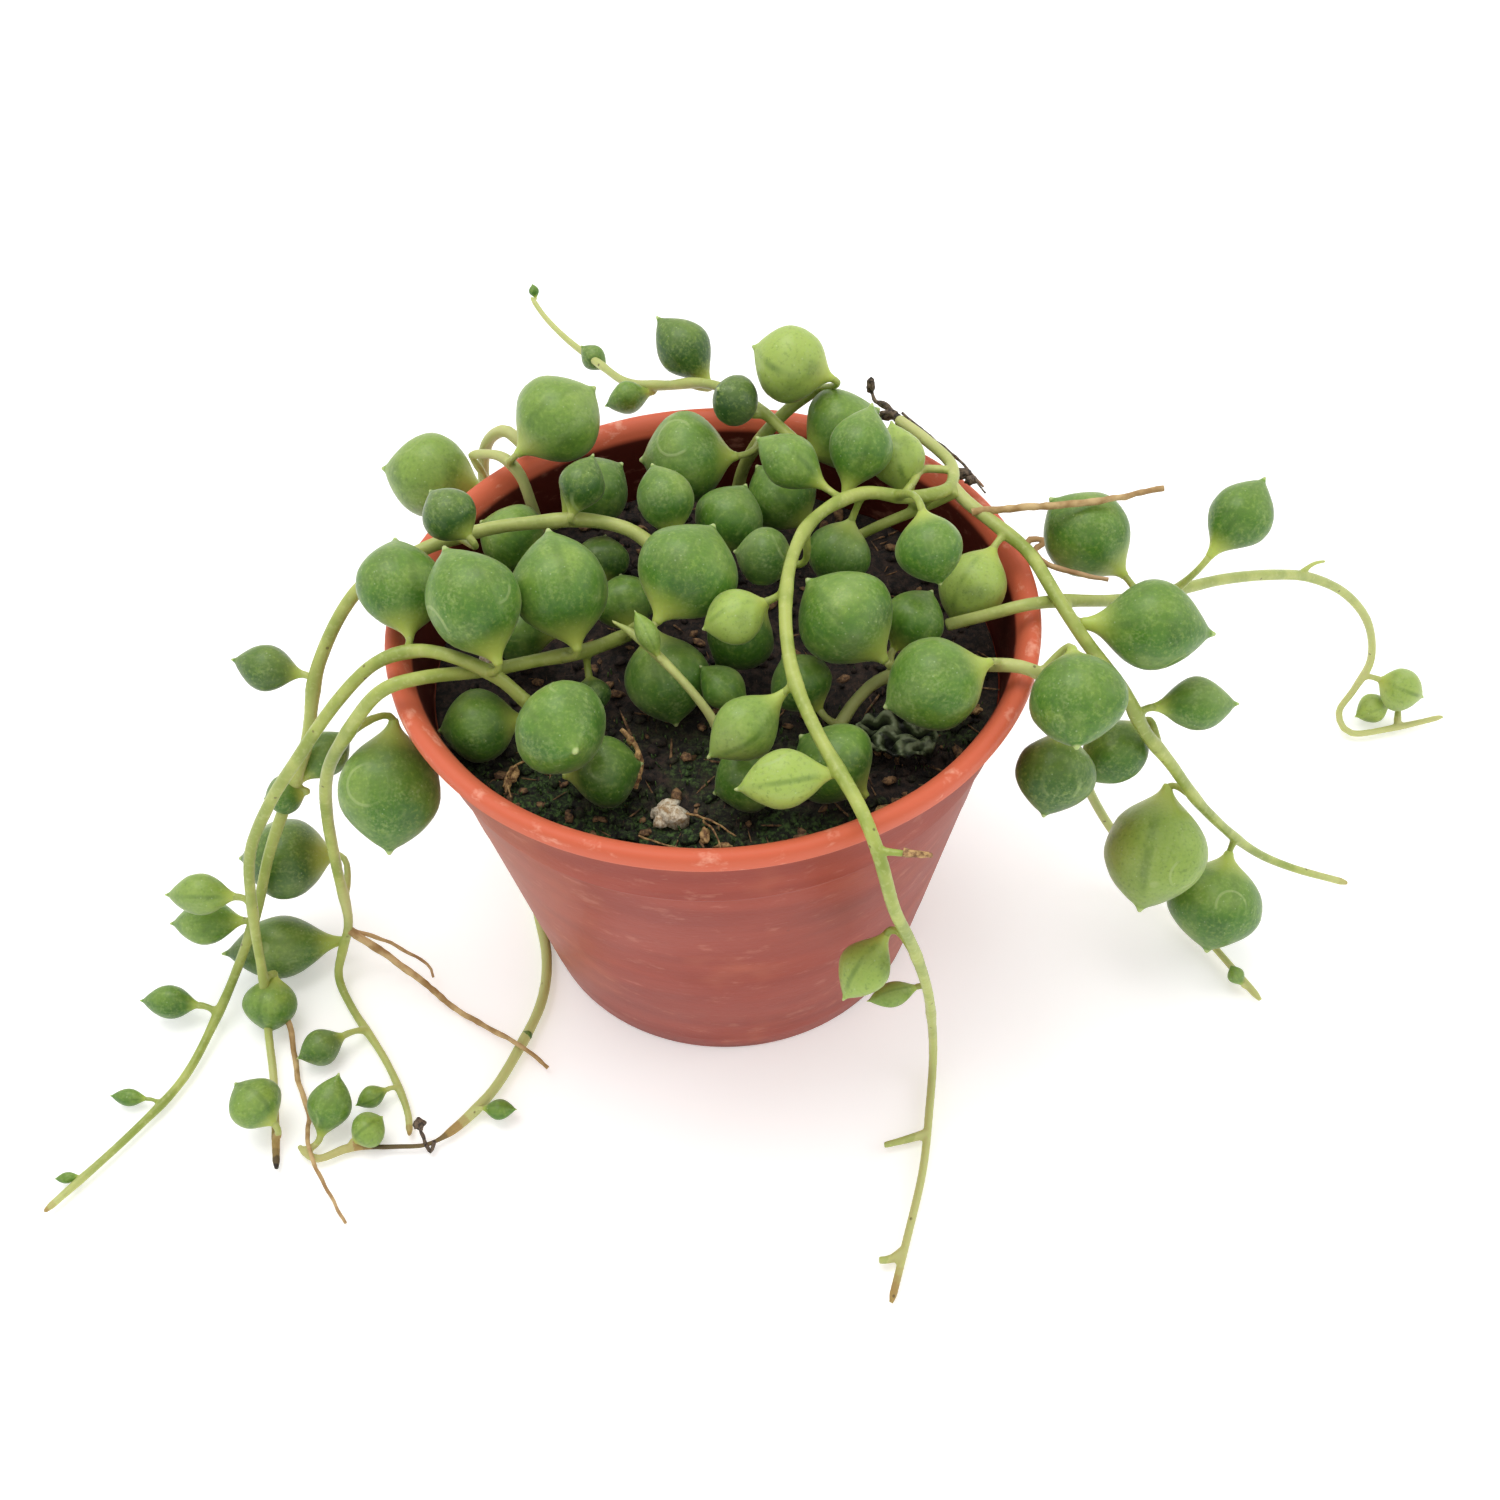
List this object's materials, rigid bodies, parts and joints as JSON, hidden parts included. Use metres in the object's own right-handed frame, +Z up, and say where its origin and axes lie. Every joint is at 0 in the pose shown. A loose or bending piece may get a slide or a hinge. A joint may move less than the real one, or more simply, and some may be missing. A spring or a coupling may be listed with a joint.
{
  "type": "potted trailing succulent",
  "caption": "Trailing succulent with drop-shaped leaves on thin stems that spill over the rim of a small tapered plastic pot onto the surface it stands on.",
  "frame": {"origin": "centre of the pot's flat underside", "axes": "+Z up along the pot's axis; +X to the plant's right and -Y to its front, as it is usually seen"},
  "size_m": [0.218, 0.147, 0.0809],
  "materials": {
    "terracotta_plastic": "thin terracotta-coloured moulded plastic, satin, lightly scuffed",
    "peat_soil": "dark moist peat with moss and bark crumbs",
    "perlite": "white porous grain",
    "bark": "rough brown bark",
    "withered_leaf": "dark dry leaf skin",
    "stem_green": "smooth yellow-green plant stem",
    "leaf_green": "waxy green succulent leaf with a faint bloom"
  },
  "bodies": {
    "root": {"pot": "terracotta_plastic", "potting_soil": "peat_soil", "perlite_grain": "perlite", "bark_chip": "bark", "withered_leaf": "withered_leaf", "back_left_shoot": "stem_green", "back_runner": "stem_green", "back_shoot": "stem_green", "back_vine": "stem_green", "cut_shoot": "stem_green", "far_right_vine": "stem_green", "front_vine": "stem_green", "left_vine_a": "stem_green", "left_vine_b": "stem_green", "left_vine_c": "stem_green", "right_vine": "stem_green", "under_vine": "stem_green", "back_left_shoot_leaf_1": "leaf_green", "back_left_shoot_leaf_2": "leaf_green", "back_shoot_leaf_1": "leaf_green", "back_shoot_leaf_2": "leaf_green", "back_vine_leaf_1": "leaf_green", "cut_shoot_leaf_1": "leaf_green", "far_right_vine_leaf_1": "leaf_green", "far_right_vine_leaf_2": "leaf_green", "front_vine_leaf_1": "leaf_green", "front_vine_leaf_2": "leaf_green", "front_vine_leaf_3": "leaf_green", "front_vine_leaf_4": "leaf_green", "left_vine_a_leaf_1": "leaf_green", "left_vine_a_leaf_2": "leaf_green", "left_vine_a_leaf_3": "leaf_green", "left_vine_a_leaf_4": "leaf_green", "left_vine_b_leaf_1": "leaf_green", "left_vine_b_leaf_2": "leaf_green", "left_vine_b_leaf_3": "leaf_green", "left_vine_b_leaf_4": "leaf_green", "left_vine_c_leaf_1": "leaf_green", "left_vine_c_leaf_2": "leaf_green", "left_vine_c_leaf_3": "leaf_green", "right_vine_leaf_1": "leaf_green", "right_vine_leaf_2": "leaf_green", "right_vine_leaf_3": "leaf_green", "right_vine_leaf_4": "leaf_green", "soil_leaf_1": "leaf_green", "soil_leaf_10": "leaf_green", "soil_leaf_2": "leaf_green", "soil_leaf_3": "leaf_green", "soil_leaf_4": "leaf_green", "soil_leaf_5": "leaf_green", "soil_leaf_6": "leaf_green", "soil_leaf_7": "leaf_green", "soil_leaf_8": "leaf_green", "soil_leaf_9": "leaf_green", "under_vine_leaf_1": "leaf_green", "under_vine_leaf_2": "leaf_green", "under_vine_leaf_3": "leaf_green", "under_vine_leaf_4": "leaf_green", "under_vine_leaf_5": "leaf_green", "under_vine_leaf_6": "leaf_green"}
  },
  "joints": []
}
